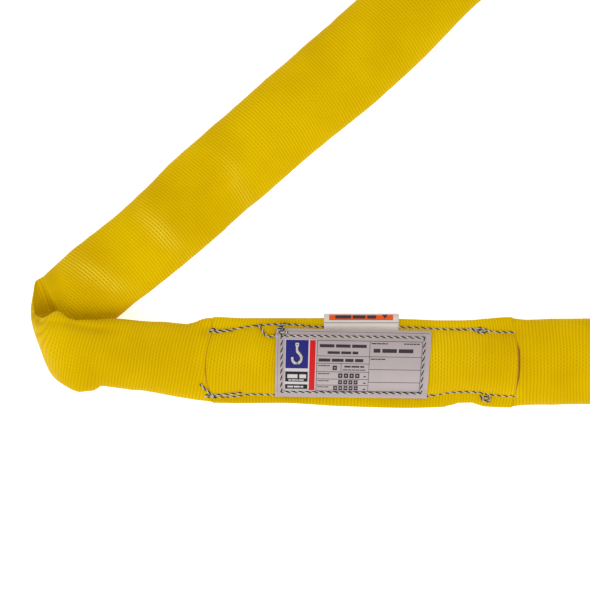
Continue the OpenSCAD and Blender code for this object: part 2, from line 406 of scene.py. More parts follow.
# woven cloth: ribs across the band, and small dots in the grooves between them
def wovenMaterial(name):
    material, tree, shader = newMaterial(name, weave["yellow"], 0.62)
    shader.inputs["Specular IOR Level"].default_value = 0.2
    shader.inputs["Specular Tint"].default_value = (1, 0.78, 0.0, 1)
    uv = tree.nodes.new("ShaderNodeUVMap")
    uv.uv_map = "weave"
    split = tree.nodes.new("ShaderNodeSeparateXYZ")
    tree.links.new(uv.outputs[0], split.inputs[0])
    along, across = split.outputs[0], split.outputs[1]
    spot = tree.nodes.new("ShaderNodeTexCoord").outputs["Object"]
    drift = sums(tree, "MULTIPLY", sums(tree, "SUBTRACT", softNoise(tree, spot, 22, 1), 0.5), 0.0045)
    along = sums(tree, "ADD", along, drift)
    row = sums(tree, "DIVIDE", along, weave["rib"] * mm)
    rib = sums(tree, "ABSOLUTE", sums(tree, "SINE", sums(tree, "MULTIPLY", row, math.pi)))
    odd = sums(tree, "MODULO", sums(tree, "FLOOR", sums(tree, "ADD", row, 0.5)), 2)
    column = sums(tree, "DIVIDE", across, weave["dot"] * mm)
    column = sums(tree, "ADD", column, sums(tree, "MULTIPLY", odd, 0.5))
    dots = sums(tree, "ABSOLUTE", sums(tree, "SINE", sums(tree, "MULTIPLY", column, math.pi)))
    groove = sums(tree, "SUBTRACT", 1, sums(tree, "POWER", rib, 0.6))
    holes = sums(tree, "MULTIPLY", groove, sums(tree, "POWER", dots, 2))
    faint = sums(tree, "ADD", 0.45, sums(tree, "MULTIPLY", softNoise(tree, spot, 30, 2), 0.9))
    apart = tree.nodes.new("ShaderNodeSeparateXYZ")
    tree.links.new(spot, apart.inputs[0])
    north = sums(tree, "SUBTRACT", apart.outputs[1], jointAt.y + 42 * mm)
    upper = clamped(tree, sums(tree, "MULTIPLY", north, 100))  # the holes hardly show on the upper leg
    plain = sums(tree, "MULTIPLY", groove, sums(tree, "ADD", 0.34, sums(tree, "MULTIPLY", upper, 0.12)))
    pierced = sums(tree, "MULTIPLY", holes, sums(tree, "SUBTRACT", 0.5, sums(tree, "MULTIPLY", upper, 0.34)))
    shade = sums(tree, "ADD", plain, pierced)
    shade = sums(tree, "MINIMUM", sums(tree, "MULTIPLY", shade, faint), 1)
    patches = softNoise(tree, spot, 16, 3)
    mottled = clamped(tree, sums(tree, "MULTIPLY", sums(tree, "SUBTRACT", patches, 0.36), 3.4))
    body = blendColour(tree, mottled, weave["yellow"], weave["light"])
    # painted highlight: the glint colour is laid on the rib beads where the painted glint attribute is set,
    # broken up by noise, in place of light glancing off the swells
    paintedGlint = tree.nodes.new("ShaderNodeAttribute")
    paintedGlint.attribute_name = "paintedGlint"
    uneven = sums(tree, "MULTIPLY", softNoise(tree, spot, 90, 2), 1.6)
    wearAndPaintedGlint = sums(tree, "MULTIPLY", paintedGlint.outputs["Fac"], uneven)
    betweenDots = sums(tree, "SUBTRACT", 1, sums(tree, "MULTIPLY", dots, 0.8))
    beads = sums(tree, "MULTIPLY", sums(tree, "POWER", rib, 2), betweenDots)
    paintedShine = sums(tree, "MINIMUM", sums(tree, "MULTIPLY", wearAndPaintedGlint, beads), 1)
    body = blendColour(tree, paintedShine, body, weave["glint"])
    colour = blendColour(tree, shade, body, weave["dark"])
    tree.links.new(colour, shader.inputs["Base Color"])
    fuzz = softNoise(tree, spot, 2600, 2)
    height = sums(tree, "SUBTRACT", rib, sums(tree, "MULTIPLY", holes, 0.8))
    height = sums(tree, "ADD", height, sums(tree, "MULTIPLY", fuzz, 0.25))
    addBump(tree, shader, height, 0.6, weave["ribDepth"])
    return material


# soft swells, some carrying a painted highlight: east, north, half length, half width, heading, height, painted
# highlight strength
swells = [
    (-148, 96, 20, 6, -42, 1.2, 1.2),
    (-199, 65, 26, 7, -24, 0.9, 1.0),
    (-90, 131, 22, 6, -65, 1.1, 0.5),
    (-172, 82, 24, 9, -50, -1.0, 0),
    (-118, 128, 26, 9, -55, -1.0, 0),
    (60, 4, 22, 8, 90, 0, 0.2),
    (84, 2, 20, 6, 90, 0, 0.2),
    (-95, -4, 18, 8, 90, 0, 0.15),
]


def swellAt(x, y, pick, widen=1.0):
    total = np.zeros_like(np.asarray(x, float))
    for east, north, long, wide, heading, *value in swells:
        c, s = math.cos(math.radians(heading)), math.sin(math.radians(heading))
        a, b = (x - east) * c + (y - north) * s, (y - north) * c - (x - east) * s
        total = total + value[pick] * np.exp(-((a / long) ** 2) - (b / wide / widen) ** 2)
    return total


# the swells' painted highlight strength, stored on the points above the middle as an attribute
def markPaintedGlint(obj):
    layer = obj.data.attributes.new("paintedGlint", "FLOAT", "POINT")
    spots = np.array([tuple(point.co) for point in obj.data.vertices]) / mm
    paintedShine = swellAt(spots[:, 0] - jointAt.x / mm, spots[:, 1] - jointAt.y / mm, 1) * (spots[:, 2] > midHeight)
    layer.data.foreach_set("value", paintedShine)


jacketCloth = wovenMaterial("jacketCloth")
sleeveCloth = wovenMaterial("sleeveCloth")


# the jacket
def jacketRings(around=56):
    at, spots, shape = bandStations()
    halfWide, halfThick, turn = shape[:, 0], shape[:, 1], np.radians(shape[:, 2])
    flat, lean = shape[:, 3], shape[:, 4]
    run = np.gradient(spots, at, axis=0)
    run /= np.linalg.norm(run, axis=1)[:, None]
    axis = math.radians(180 + band["foldAxis"])
    outward = np.array((math.cos(axis), math.sin(axis), 0))
    face = np.cos(turn)[:, None] * np.array((0, 0, 1)) - np.sin(turn)[:, None] * outward
    side = np.cross(run, face)
    side /= np.linalg.norm(side, axis=1)[:, None]
    side = side * (1 - lean[:, None]) + np.array((math.sin(axis), -math.cos(axis), 0)) * lean[:, None]
    side /= np.linalg.norm(side, axis=1)[:, None]
    face = np.cross(side, run)
    face /= np.linalg.norm(face, axis=1)[:, None]
    theta = np.linspace(0, 2 * math.pi, around + 1)
    c, s = np.cos(theta), np.sin(theta)
    square = np.sin(turn)[:, None]  # the band's edges are fuller in the fold
    wide = np.sign(c)[None, :] * np.abs(c)[None, :] ** (0.86 - 0.2 * square)
    tall = np.sign(s)[None, :] * np.abs(s)[None, :] ** (0.95 - 0.3 * square)
    rings = spots[:, None, :] + side[:, None, :] * (halfWide[:, None] * wide)[:, :, None]
    lift = halfThick[:, None] * tall
    # the inner wall falls back against the outer one where the fold opens to the north
    fromTurn = rings[:, :, :2] - np.array(band["turnPoint"])
    north = fromTurn @ np.array((math.sin(axis), -math.cos(axis)))
    spotOut = (spots[:, :2] - np.array(band["turnPoint"])) @ outward[:2]
    ridge = np.clip(north - 3.4, 0, 30) * 0.13 + 0.3
    beforeLip = (turn < math.radians(118))[:, None]
    fallen = ease((north - 1.2) / 3.5) * ease((spotOut[:, None] - ridge) / 3.2) * beforeLip
    drop = (1.22 - 0.17 * ease((spotOut[:, None] - 8) / 5)) * fallen
    lift = np.where(s[None, :] > 0, lift * (1 - drop), lift)
    sewnLift = np.zeros_like(lift)
    for i in np.nonzero(flat > 0)[0]:
        x, y = rings[i, :, 0], rings[i, :, 1]
        sewnLift[i] = np.sign(s) * np.maximum(clothHeight(x, y) - 0.1, 0.15) * (np.abs(s) > 1e-6)
    lift = lift * (1 - flat[:, None]) + sewnLift * flat[:, None]
    rings = rings + face[:, None, :] * lift[:, :, None]
    return at, spots, rings, side, face, halfWide, halfThick, flat, theta, shape[:, 2], spotOut


at, spots, rings, side, face, halfWide, halfThick, flat, theta, turned, spotOut = jacketRings()
for i in range(len(at)):
    if flat[i] < 0.99:
        for k in range(rings.shape[1] - 1):
            p = rings[i, k]
            broad = noise.noise(Vector((p[0] / 26, p[1] / 26, p[2] / 20 + 4.2)))
            fine = noise.noise(Vector((p[0] / 9, p[1] / 9, p[2] / 9)))
            push = broad * 0.7 + fine * 0.25
            out = p - spots[i]
            rings[i, k] += out / max(np.linalg.norm(out), 1) * push * (1 - flat[i])
        rings[i, -1] = rings[i, 0]
for i in np.nonzero((turned < 1) & (spots[:, 0] < 60) & (spots[:, 1] > 30))[0]:
    upper = np.clip((rings[i, :, 2] - spots[i, 2]) / halfThick[i], 0, 1)
    rings[i, :, 2] += swellAt(rings[i, :, 0], rings[i, :, 1], 0, 1.7) * upper
# a shallow groove under the rolled lip beside the fold
grooveRows = [(-242, 30), (-221, 29), (-210, 27), (-198, 25), (-178, 23.6)]
for i in np.nonzero((turned > 100) & (spots[:, 0] < -165))[0]:
    upper = rings[i, :, 2] > spots[i, 2]
    away = rings[i, :, 1] - through(grooveRows, rings[i, :, 0])[:, 0]
    fade = ease((-172 - rings[i, :, 0]) / 22) * ease((turned[i] - 100) / 30)
    rings[i, :, 2] -= 2.4 * np.exp(-((away / 2.6) ** 2)) * fade * upper
rings[:, :, 2] = np.maximum(rings[:, :, 2], 0.05)
uvs = np.zeros((*rings.shape[:2], 2))
# the ribs lie askew: bowed on the upper leg, upright on the labelled leg
run = np.gradient(spots, at, axis=0)
acrossBand = ((rings - spots[:, None, :]) * side[:, None, :]).sum(axis=2)
upperLeg = (ease((spots[:, 1] - 34) / 10) * (spots[:, 0] < 200) * (spots[:, 1] < 300))[:, None]
slantRows = [
    (40, 0.5), (53, 0.41), (60, 0.33), (70, 0.22), (80, 0.13), (94, 0.07), (140, 0.05), (200, -0.015),
]
askew = -0.0035 * acrossBand**2 - through(slantRows, spots[:, 1]) * acrossBand
lowerLeg = (ease((turned - 80) / 80) * (spots[:, 0] < -100))[:, None]
bowed = 0.0035 * np.clip(rings[:, :, 1], 0, 60) ** 2
upright = (rings - spots[:, None, :])[:, :, 0] - 0.15 * rings[:, :, 1] - bowed
finer = np.cumsum(np.gradient(at) * (1 + (weave["upperLeg"] - 1) * upperLeg[:, 0]))
uvs[:, :, 0] = (finer[:, None] + askew * upperLeg * weave["upperLeg"] + upright * lowerLeg) * mm
uvs[:, :, 1] = (theta / (2 * math.pi))[None, :] * band["perimeter"] * mm
jacket = tube("slingJacket", rings, uvs)
jacket.data.materials.append(jacketCloth)
markPaintedGlint(jacket)
print("jacket made", len(jacket.data.polygons))
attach(jacket, "sling")
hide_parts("jacket")

# the core's yarn bundles, inside the jacket
yarnLook = {
    "radius": 2.1,
    "offsets": {"core_outer_pair": 20, "core_middle_pair": 13.4, "core_inner_pair": 6.7, "core_centre": 0},
    "base": (0.85, 0.84, 0.78),
    "dark": (0.72, 0.70, 0.62),
    "light": (0.88, 0.87, 0.82),
}
yarn, yarnTree, yarnShader = newMaterial("coreYarn", yarnLook["base"], 0.8)
yarnTwist = yarnTree.nodes.new("ShaderNodeTexWave")
yarnTwist.bands_direction = "DIAGONAL"
yarnTwist.inputs["Scale"].default_value = 400
yarnSpot = yarnTree.nodes.new("ShaderNodeTexCoord")
yarnTree.links.new(yarnSpot.outputs["Object"], yarnTwist.inputs["Vector"])
yarnTint = blendColour(yarnTree, yarnTwist.outputs["Fac"], yarnLook["dark"], yarnLook["light"])
yarnTree.links.new(yarnTint, yarnShader.inputs["Base Color"])


def yarnBundle(node, offset):
    pick = np.arange(0, len(spots), 4)
    squeeze = halfWide[pick] / band["halfWidth"] * (1 - 0.28 * flat[pick])
    # in the fold the bundles bunch up to the south
    bunched = ease((spotOut[pick] + 24) / 22) * ease((128 - turned[pick]) / 10) * (spots[pick, 0] < -150)
    axis = math.radians(180 + band["foldAxis"])
    middle = (spots[pick, :2] - np.array(band["turnPoint"])) @ np.array((math.sin(axis), -math.cos(axis)))
    south, north = middle - halfWide[pick] + 7, np.minimum(middle + halfWide[pick] - 7, -2.4)
    shift = ((south + north) / 2 - middle) * bunched
    squeeze = squeeze * (1 - bunched) + (north - south) / 40 * bunched
    turn = np.linspace(0, 2 * math.pi, 9)
    points, faces = [], []
    for sign in ((1, -1) if offset else (1,)):
        first = len(points)
        centre = spots[pick] + side[pick] * (sign * offset * squeeze + shift)[:, None]
        for i in range(len(pick)):
            for k in range(8):
                out = side[pick[i]] * math.cos(turn[k]) + face[pick[i]] * math.sin(turn[k])
                points.append(centre[i] + yarnLook["radius"] * out)
        for i in range(len(pick) - 1):
            for k in range(8):
                a, b, c = first + i * 8 + k, first + (i + 1) * 8 + k, (k + 1) % 8
                faces.append((a, b, first + (i + 1) * 8 + c, first + i * 8 + c))
        faces.append([first + k for k in range(8)])
        faces.append([first + (len(pick) - 1) * 8 + k for k in range(7, -1, -1)])
    bundle = newMesh("yarn_" + node, placed(points), faces)
    bundle.data.materials.append(yarn)
    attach(bundle, "sling")
    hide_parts(node)


for node, offset in yarnLook["offsets"].items():
    yarnBundle(node, offset)
print("core laid")
pathAt = np.linspace(0, at[-1], 420)
path = [place(*p) for p in through(np.column_stack((at, spots)), pathAt, free=True)]
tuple(path[0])


# the joint sleeve: a cloth tube with flat sewn hems and turned ends
def sleeveEnd(y, side):
    if side > 0:
        return 1.3 - 1.5 * (y / 21.5) ** 2
    return min(0.8 + ((y + 4) / 24) ** 2 * 4.5, 5.4)


def makeSleeve(around=72, step=1.6):
    half = sewn["halfLength"]
    count = int(2 * half / step)
    theta = np.linspace(2 * math.pi, 0, around + 1)
    c, s = np.cos(theta), np.sin(theta)
    wide = np.sign(c) * np.abs(c) ** 0.86
    rows, marks = [], []
    bead = 0.35  # the turned cloth stands up a little at each end
    outer = []
    for k in range(count + 1):
        outer.append((-half + 2 * half * k / count, sewn["sleeveCloth"] + bead * (k in (1, count - 1))))
    inner = [(x0, 0.1) for x0, grow in reversed(outer)]
    for x0, grow in [(-half - 1.2, -0.9)] + outer + [(half + 1.7, -0.9)] + inner:
        north, south = edges([x0])
        mid, hw = (north[0] + south[0]) / 2, (north[0] - south[0]) / 2
        y = mid + hw * wide
        share = abs(x0 / half) ** 6
        x = np.array([x0 + share * sleeveEnd(v, math.copysign(1, x0)) for v in y])
        height = np.sign(s) * (clothHeight(x, y) + grow + puckers(x, y) * 0.7 * (s > 0)) * (np.abs(s) > 1e-6)
        out = np.where(np.abs(c) > 0.98, grow * np.sign(c), 0)
        rows.append(np.column_stack((x, y + out, midHeight + height)))
        ribs = x * weave["sleeve"] + 0.004 * y**2 * x0 / half - 0.14 * y * ease((10 - x0) / 60)
        marks.append(np.column_stack((ribs * mm, theta / (2 * math.pi) * band["perimeter"] * mm)))
    rings = np.array(rows)
    rings[:, :, 2] = np.maximum(rings[:, :, 2], 0.02)
    sleeve = tube("jointSleeve", rings, np.array(marks), looped=True)
    sleeve.data.materials.append(sleeveCloth)
    # the turned ends take a darker orange: painted shade in the creases at the sleeve's ends
    sleeve.data.materials.append(newMaterial("turnedEdgePaintedShade", (0.42, 0.185, 0.001), 0.8)[0])
    for i in list(range(around)) + list(range((count + 1) * around, (count + 2) * around)):
        sleeve.data.polygons[i].material_index = 1
    return sleeve


jointSleeve = makeSleeve()
markPaintedGlint(jointSleeve)
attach(jointSleeve, "sling")
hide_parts("joint_sleeve")
print("sleeve made")

# the main label: a stiff vinyl sheet over the crown, its lower edge on the hem
labelLook = {
    # bottom left, bottom right, top right, top left
    "corners": ((-63.8, -26.3), (49.5, -27.8), (53.3, 22.6), (-62.9, 24.8)),
    "long": 116,
    "tall": 51.5,
    "thick": 0.45,
    "vinyl": (0.40, 0.335, 0.34),
}


def labelSpot(x, y, up=0.0):
    a, b = x / labelLook["long"], y / labelLook["tall"]
    sw, se, ne, nw = (np.array(c) for c in labelLook["corners"])
    spot = sw * (1 - a) * (1 - b) + se * a * (1 - b) + ne * a * b + nw * (1 - a) * b
    here = spot[1] + np.array((-4, -2, 0, 2, 4))
    heights = clothHeight(np.full(5, spot[0]), here)
    rest = max(float(heights[2]) + 0.35, float(heights.mean()) + 0.3) + 0.9 * ease((spot[1] - 16) / 4)
    ripple = 0.35 * wave(spot[0], spot[1] * 0.5, 24, 12.5)
    ripple += 0.25 * math.sin(spot[0] / 7.5 + 1) * abs(2 * b - 1) ** 3
    cloth = midHeight + rest + sewn["sleeveCloth"] + 0.45
    return np.array((spot[0], spot[1], cloth + ripple + labelLook["thick"] + up))


# a printed rectangle as a small grid of faces that follows the sheet under it
def addPatch(spotAt, box, nx, ny, kind, points, faces, kinds):
    x0, y0, x1, y1 = box
    first = len(points)
    for j in range(ny + 1):
        for i in range(nx + 1):
            points.append(spotAt(x0 + (x1 - x0) * i / nx, y0 + (y1 - y0) * j / ny))
    for j in range(ny):
        for i in range(nx):
            a = first + j * (nx + 1) + i
            faces.append((a, a + 1, a + nx + 2, a + nx + 1))
            kinds.append(kind)


def printMesh(name, points, faces, kinds, materials):
    obj = newMesh(name, placed(points), faces, smooth=False)
    for material in materials:
        obj.data.materials.append(material)
    for face, kind in zip(obj.data.polygons, kinds):
        face.material_index = kind
    return obj


def sheetMesh(name, spotAt, across, along, thick, material):
    grid = np.array([[spotAt(i / across, j / along) for i in range(across + 1)] for j in range(along + 1)])
    upper, lower = grid.reshape(-1, 3), (grid - np.array((0, 0, thick))).reshape(-1, 3)
    n, count = across + 1, len(upper)
    faces = []
    for j in range(along):
        for i in range(across):
            a = j * n + i
            faces.append((a, a + 1, a + n + 1, a + n))
            faces.append((count + a, count + a + n, count + a + n + 1, count + a + 1))
    rim = list(range(n)) + [j * n + n - 1 for j in range(1, along + 1)]
    rim += [along * n + i for i in range(n - 2, -1, -1)] + [j * n for j in range(along - 1, 0, -1)]
    for a, b in zip(rim, rim[1:] + rim[:1]):
        faces.append((a, count + a, count + b, b))
    obj = newMesh(name, placed(np.concatenate((upper, lower))), faces, smooth=False)
    obj.data.materials.append(material)
    return obj


def vinylMaterial(name, colour):
    material, tree, shader = newMaterial(name, colour, 0.42)
    spot = tree.nodes.new("ShaderNodeTexCoord").outputs["Object"]
    cloud = softNoise(tree, spot, 60, 3)
    tint = blendColour(tree, cloud, shaded(colour, 0.9), shaded(colour, 1.1))
    grain = softNoise(tree, spot, 1400, 2)
    tint = blendColour(tree, sums(tree, "MULTIPLY", grain, 0.25), tint, shaded(colour, 0.8))
    tree.links.new(tint, shader.inputs["Base Color"])
    addBump(tree, shader, sums(tree, "ADD", grain, sums(tree, "MULTIPLY", cloud, 2)), 0.35, 0.15)
    return material


def labelShare(a, b):
    return labelSpot(a * labelLook["long"], b * labelLook["tall"])


labelVinyl = vinylMaterial("labelVinyl", labelLook["vinyl"])
mainLabel = sheetMesh("mainLabel", labelShare, 76, 36, labelLook["thick"], labelVinyl)
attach(mainLabel, "sling")
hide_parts("label")


def inkMaterial(name, colour):
    material, tree, shader = newMaterial(name, colour, 0.6)
    shader.inputs["Specular IOR Level"].default_value = 0.15
    spot = tree.nodes.new("ShaderNodeTexCoord").outputs["Object"]
    wearAndPaintedGlint = softNoise(tree, spot, 900, 3)
    tint = blendColour(tree, sums(tree, "MULTIPLY", wearAndPaintedGlint, 0.04), colour, labelLook["vinyl"])
    tree.links.new(tint, shader.inputs["Base Color"])
    return material


# bars that stand for printed words without saying anything
def bars(x0, x1, y, tall, seed):
    draw = random.Random(seed)
    out, x = [], x0
    while x < x1 - tall:
        wide = min(tall * draw.choice((1.6, 2.4, 3.4, 4.2)), x1 - x)
        out.append((x, y, x + wide, y + tall * 0.9))
        x += wide + tall * 0.45
    return out


# plain noughts
def noughts(x0, y, tall, count):
    wide, line = tall * 0.96, tall * 0.35
    out = []
    for k in range(count):
        x = x0 + k * tall * 1.22
        right = x + wide - line
        out += [(x, y, x + line, y + tall), (right, y, x + wide, y + tall)]
        out += [(x + line, y, right, y + line), (x + line, y + tall - line, right, y + tall)]
    return out


inks = {
    "ink": (0.03, 0.024, 0.03),
    "blueInk": (0.010, 0.010, 0.17),
    "redInk": (0.58, 0.002, 0.004),
    "blackInk": (0.008, 0.008, 0.008),
    "paleInk": (0.58, 0.54, 0.55),
}


def labelPrint():
    points, faces, kinds = [], [], []

    def patch(kind, x0, y0, x1, y1, up=0.06):
        nx, ny = (max(1, int(long / 2.5 + 0.5)) for long in (x1 - x0, y1 - y0))
        addPatch(lambda x, y: labelSpot(x, y, up), (x0, y0, x1, y1), nx, ny, kind, points, faces, kinds)

    ink, blue, red, black, pale = range(5)
    line = 0.34
    left, mid, right = 31.0, 70.4, 109.6
    rowsLeft, rowsRight = (42.8, 31.1, 25.5, 19.2, 13.7, 9.1, 4.6), (42.8, 31.1, 21.4, 11.7, 4.6)
    for y in rowsLeft:
        patch(ink, left, y, mid, y + line)
    for y in rowsRight:
        patch(ink, mid, y, right, y + line)
    for x, y0, y1 in ((left, 4.6, 42.8), (mid, 4.6, 42.8), (right, 4.6, 43.1), (49.4, 19.2, 25.5)):
        patch(ink, x, y0, x + line, y1)
    patch(ink, 1.6, 49.4, 114.6, 49.6)  # the turned edge's line
    patch(ink, 1.6, 2, 1.8, 49.4)
    patch(pale, 7.2, 4.8, 30.4, 43.4, 0.03)
    patch(blue, 7.6, 21.6, 24.6, 43.0)
    patch(red, 25.6, 5.2, 30.0, 43.0)
    patch(black, 7.6, 11.6, 24.6, 19.2, 0.09)
    patch(black, 7.6, 6.2, 24.6, 9.6, 0.09)
    for box in bars(9.2, 23.4, 14.2, 3.2, 3) + bars(10, 22.6, 12.4, 0.9, 4) + bars(9.4, 23, 7.2, 1.3, 5):
        patch(pale, *box, 0.12)
    # a plain lifting hook
    hook = [
        (16, 38), (16, 35.5), (16.2, 34.2), (18, 32.4), (19.6, 30),
        (19.2, 27.2), (17.2, 25.4), (14.6, 25.4), (12.8, 27.2), (12.6, 29.2),
    ]
    for (ax, ay), (bx, by) in zip(hook, hook[1:]):
        for t in np.linspace(0, 1, 5):
            cx, cy = ax + (bx - ax) * t, ay + (by - ay) * t
            patch(black, cx - 1.25, cy - 1.25, cx + 1.25, cy + 1.25, 0.10)
            patch(pale, cx - 0.8, cy - 0.8, cx + 0.8, cy + 0.8, 0.13)
    patch(black, 14.2, 37.6, 18, 41.4, 0.10)
    patch(pale, 14.8, 38.2, 17.4, 40.8, 0.13)
    patch(blue, 15.6, 39.0, 16.6, 40.0, 0.15)
    for x0, x1, y, tall, seed in (
        (33, 69, 37.8, 2.6, 11), (39, 62, 32.9, 2.2, 12), (32.4, 69.4, 27, 2.6, 13),
        (32.2, 41, 23.6, 0.8, 14), (52, 67, 22.8, 1.4, 16), (51, 68, 20.6, 0.8, 17),
        (32.2, 41, 17.6, 0.7, 18), (32.2, 41, 12.2, 0.7, 20), (32.2, 41, 7.6, 0.7, 22),
        (66.8, 68.6, 15.6, 1.0, 24), (66.8, 68.6, 10.6, 1.0, 25), (66.8, 68.6, 6, 1.0, 26),
        (71.6, 84, 40.8, 0.9, 27), (96, 108.6, 40.8, 0.9, 28), (73.4, 107, 34.4, 3.2, 29),
        (71.6, 83.6, 29, 0.9, 30),
    ):
        for box in bars(x0, x1, y, tall, seed):
            patch(ink, *box)
    for figure in ((43.2, 20.7, 3.4, 1), (47.6, 14.8, 3.5, 4), (47.8, 10.0, 3.2, 4), (44.2, 5.5, 3.2, 5)):
        for box in noughts(*figure):
            patch(ink, *box)
    painted = [inkMaterial(name, colour) for name, colour in inks.items()]
    return printMesh("labelPrint", points, faces, kinds, painted)


printed = labelPrint()
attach(printed, "sling")
print("label printed", len(printed.data.polygons))

# the warning tag: a white strip from behind the label, over the edge, and its flap folded behind
tagLook = {
    "west": -27.2,
    "east": 28.4,
    "start": 18.5,
    "edge": 35.3,
    "flapEdge": 35.56,
    "flapEnd": 15,
    "thick": 0.42,
    "vinyl": (0.61, 0.545, 0.50),
    "orange": (0.72, 0.075, 0.002),
}
tagVinyl = vinylMaterial("tagVinyl", tagLook["vinyl"])


def tagProfile(y, x):
    if y < 32:
        bare = float(clothTop([x], [y])[0]) - midHeight
        return max(bare, sewn["hem"] + sewn["sleeveCloth"] + 0.7) + 0.75 + 0.2 * wave(x, y, 14, 2.2)
    t = (y - 32) / (tagLook["edge"] - 32)
    return 0.25 + (tagProfile(31.99, x) - 0.25) * math.sqrt(max(0, 1 - t**2.4))


def tagSpot(a, b):
    y = tagLook["start"] + (tagLook["edge"] - tagLook["start"]) * (1 - (1 - b) ** 1.4)
    x = tagLook["west"] + (tagLook["east"] - tagLook["west"]) * a + (y - 24) * 0.06 * a
    return np.array((x, y, midHeight + tagProfile(y, x) + 0.1))


def flapSpot(a, b):
    y = tagLook["flapEdge"] + (tagLook["flapEnd"] - tagLook["flapEdge"]) * b**1.4
    x = tagLook["west"] + (tagLook["east"] - tagLook["west"]) * (1 - a) + (1 - a) * 0.7
    if y > 32:
        t = (y - 32) / (tagLook["flapEdge"] - 32)
        down = 0.25 + 2.05 * math.sqrt(max(0, 1 - t**2.4))
    else:
        down = max(2.3, float(clothHeight([x], [y])[0]) + sewn["sleeveCloth"] + 0.45)
    return np.array((x, y, midHeight - min(down, midHeight - 0.6)))


tagFront = sheetMesh("warningTag", tagSpot, 30, 26, tagLook["thick"], tagVinyl)
tagFlap = sheetMesh("warningFlap", flapSpot, 30, 26, tagLook["thick"], tagVinyl)
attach(tagFront, "sling")
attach(tagFlap, "flap")
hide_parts("warning_tag")
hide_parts("warning_flap")


def tagPrint():
    points, faces, kinds = [], [], []

    def patch(kind, x0, y0, x1, y1, up):
        nx, ny = max(1, int((x1 - x0) / 2)), max(1, int((y1 - y0) / 0.6))

        def spotAt(x, y):
            return (x + (y - 24) * 0.04, y, midHeight + tagProfile(y, x) + 0.1 + up)

        addPatch(spotAt, (x0, y0, x1, y1), nx, ny, kind, points, faces, kinds)

    patch(0, -23.6, 31.0, 24.2, 35.0, 0.06)
    patch(1, -23.6, 30.8, 24.2, 31.05, 0.12)
    patch(1, tagLook["west"] + 0.2, 28.6, tagLook["east"] - 0.2, 28.9, 0.2)
    for box in bars(-19, 12, 31.9, 2.8, 41):
        patch(1, *box, 0.10)
    for k in range(7):  # a plain triangle
        half = 0.3 + 0.27 * k
        patch(1, 18 - half, 31.9 + 0.4 * k, 18 + half, 32.35 + 0.4 * k, 0.10)
    painted = [inkMaterial("orangeInk", tagLook["orange"]), bpy.data.materials["ink"]]
    return printMesh("tagPrint", points, faces, kinds, painted)


tagPrinted = tagPrint()
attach(tagPrinted, "sling")
print("tag folded")

# the threads: two plies, black and ecru, twisted together and dipping into the cloth at each stitch
threadLook = {
    "pitch": 5.0,
    "dip": 1.1,
    "plyRadius": 0.45,
    "plyOffset": 0.38,
    "twist": 5.2,
    "step": 0.3,
    "black": (0.009, 0.008, 0.009),
    "ecru": (0.56, 0.50, 0.44),
}


def threadTree():
    tree = bpy.data.node_groups.new("twistedThread", "GeometryNodeTree")
    face = tree.interface
    face.new_socket("Path", in_out="INPUT", socket_type="NodeSocketGeometry")
    for name in ("Pitch", "Dip", "Ply Radius", "Ply Offset", "Twist", "Step"):
        face.new_socket(name, in_out="INPUT", socket_type="NodeSocketFloat")
    for name in ("First Ply", "Second Ply"):
        face.new_socket(name, in_out="INPUT", socket_type="NodeSocketMaterial")
    face.new_socket("Thread", in_out="OUTPUT", socket_type="NodeSocketGeometry")
    add, link = tree.nodes.new, tree.links.new
    source, result = add("NodeGroupInput").outputs, add("NodeGroupOutput")

    def maths(kind, a, b=0.0):
        return sums(tree, kind, a, b)

    def vectors(kind, a, b=None, scale=None):
        node = add("ShaderNodeVectorMath")
        node.operation = kind
        for socket, value in zip(node.inputs, (a, b)):
            if isinstance(value, tuple):
                socket.default_value = value
            elif value is not None:
                link(value, socket)
        if scale is not None:
            link(scale, node.inputs["Scale"])
        return node.outputs["Vector"]

    even = add("GeometryNodeResampleCurve")
    even.mode = "LENGTH"
    link(source["Path"], even.inputs["Curve"])
    link(source["Step"], even.inputs["Length"])
    length = add("GeometryNodeSplineParameter").outputs["Length"]
    tangent = add("GeometryNodeInputTangent").outputs[0]
    side = vectors("NORMALIZE", vectors("CROSS_PRODUCT", tangent, (0, 0, 1)))
    up = vectors("CROSS_PRODUCT", side, tangent)
    turns = maths("MULTIPLY", maths("DIVIDE", length, source["Twist"]), 2 * math.pi)
    stitch = maths("MULTIPLY", maths("DIVIDE", length, source["Pitch"]), math.pi)
    arch = maths("ABSOLUTE", maths("SINE", stitch))
    down = maths("MULTIPLY", maths("SUBTRACT", maths("POWER", arch, 0.35), 1), source["Dip"])
    joined = add("GeometryNodeJoinGeometry")
    for start, paint in ((0, "First Ply"), (math.pi, "Second Ply")):
        angle = maths("ADD", turns, start)
        a = vectors("SCALE", up, scale=maths("MULTIPLY", maths("COSINE", angle), source["Ply Offset"]))
        b = vectors("SCALE", side, scale=maths("MULTIPLY", maths("SINE", angle), source["Ply Offset"]))
        c = vectors("SCALE", up, scale=down)
        move = add("GeometryNodeSetPosition")
        link(even.outputs[0], move.inputs["Geometry"])
        link(vectors("ADD", vectors("ADD", a, b), c), move.inputs["Offset"])
        ring = add("GeometryNodeCurvePrimitiveCircle")
        ring.inputs["Resolution"].default_value = 5
        link(source["Ply Radius"], ring.inputs["Radius"])
        skin = add("GeometryNodeCurveToMesh")
        link(move.outputs[0], skin.inputs["Curve"])
        link(ring.outputs[0], skin.inputs["Profile Curve"])
        skin.inputs["Fill Caps"].default_value = True
        whole = add("GeometryNodeRealizeInstances")
        link(skin.outputs[0], whole.inputs[0])
        painted = add("GeometryNodeSetMaterial")
        link(whole.outputs[0], painted.inputs["Geometry"])
        link(source[paint], painted.inputs["Material"])
        link(painted.outputs[0], joined.inputs[0])
    link(joined.outputs[0], result.inputs[0])
    return tree


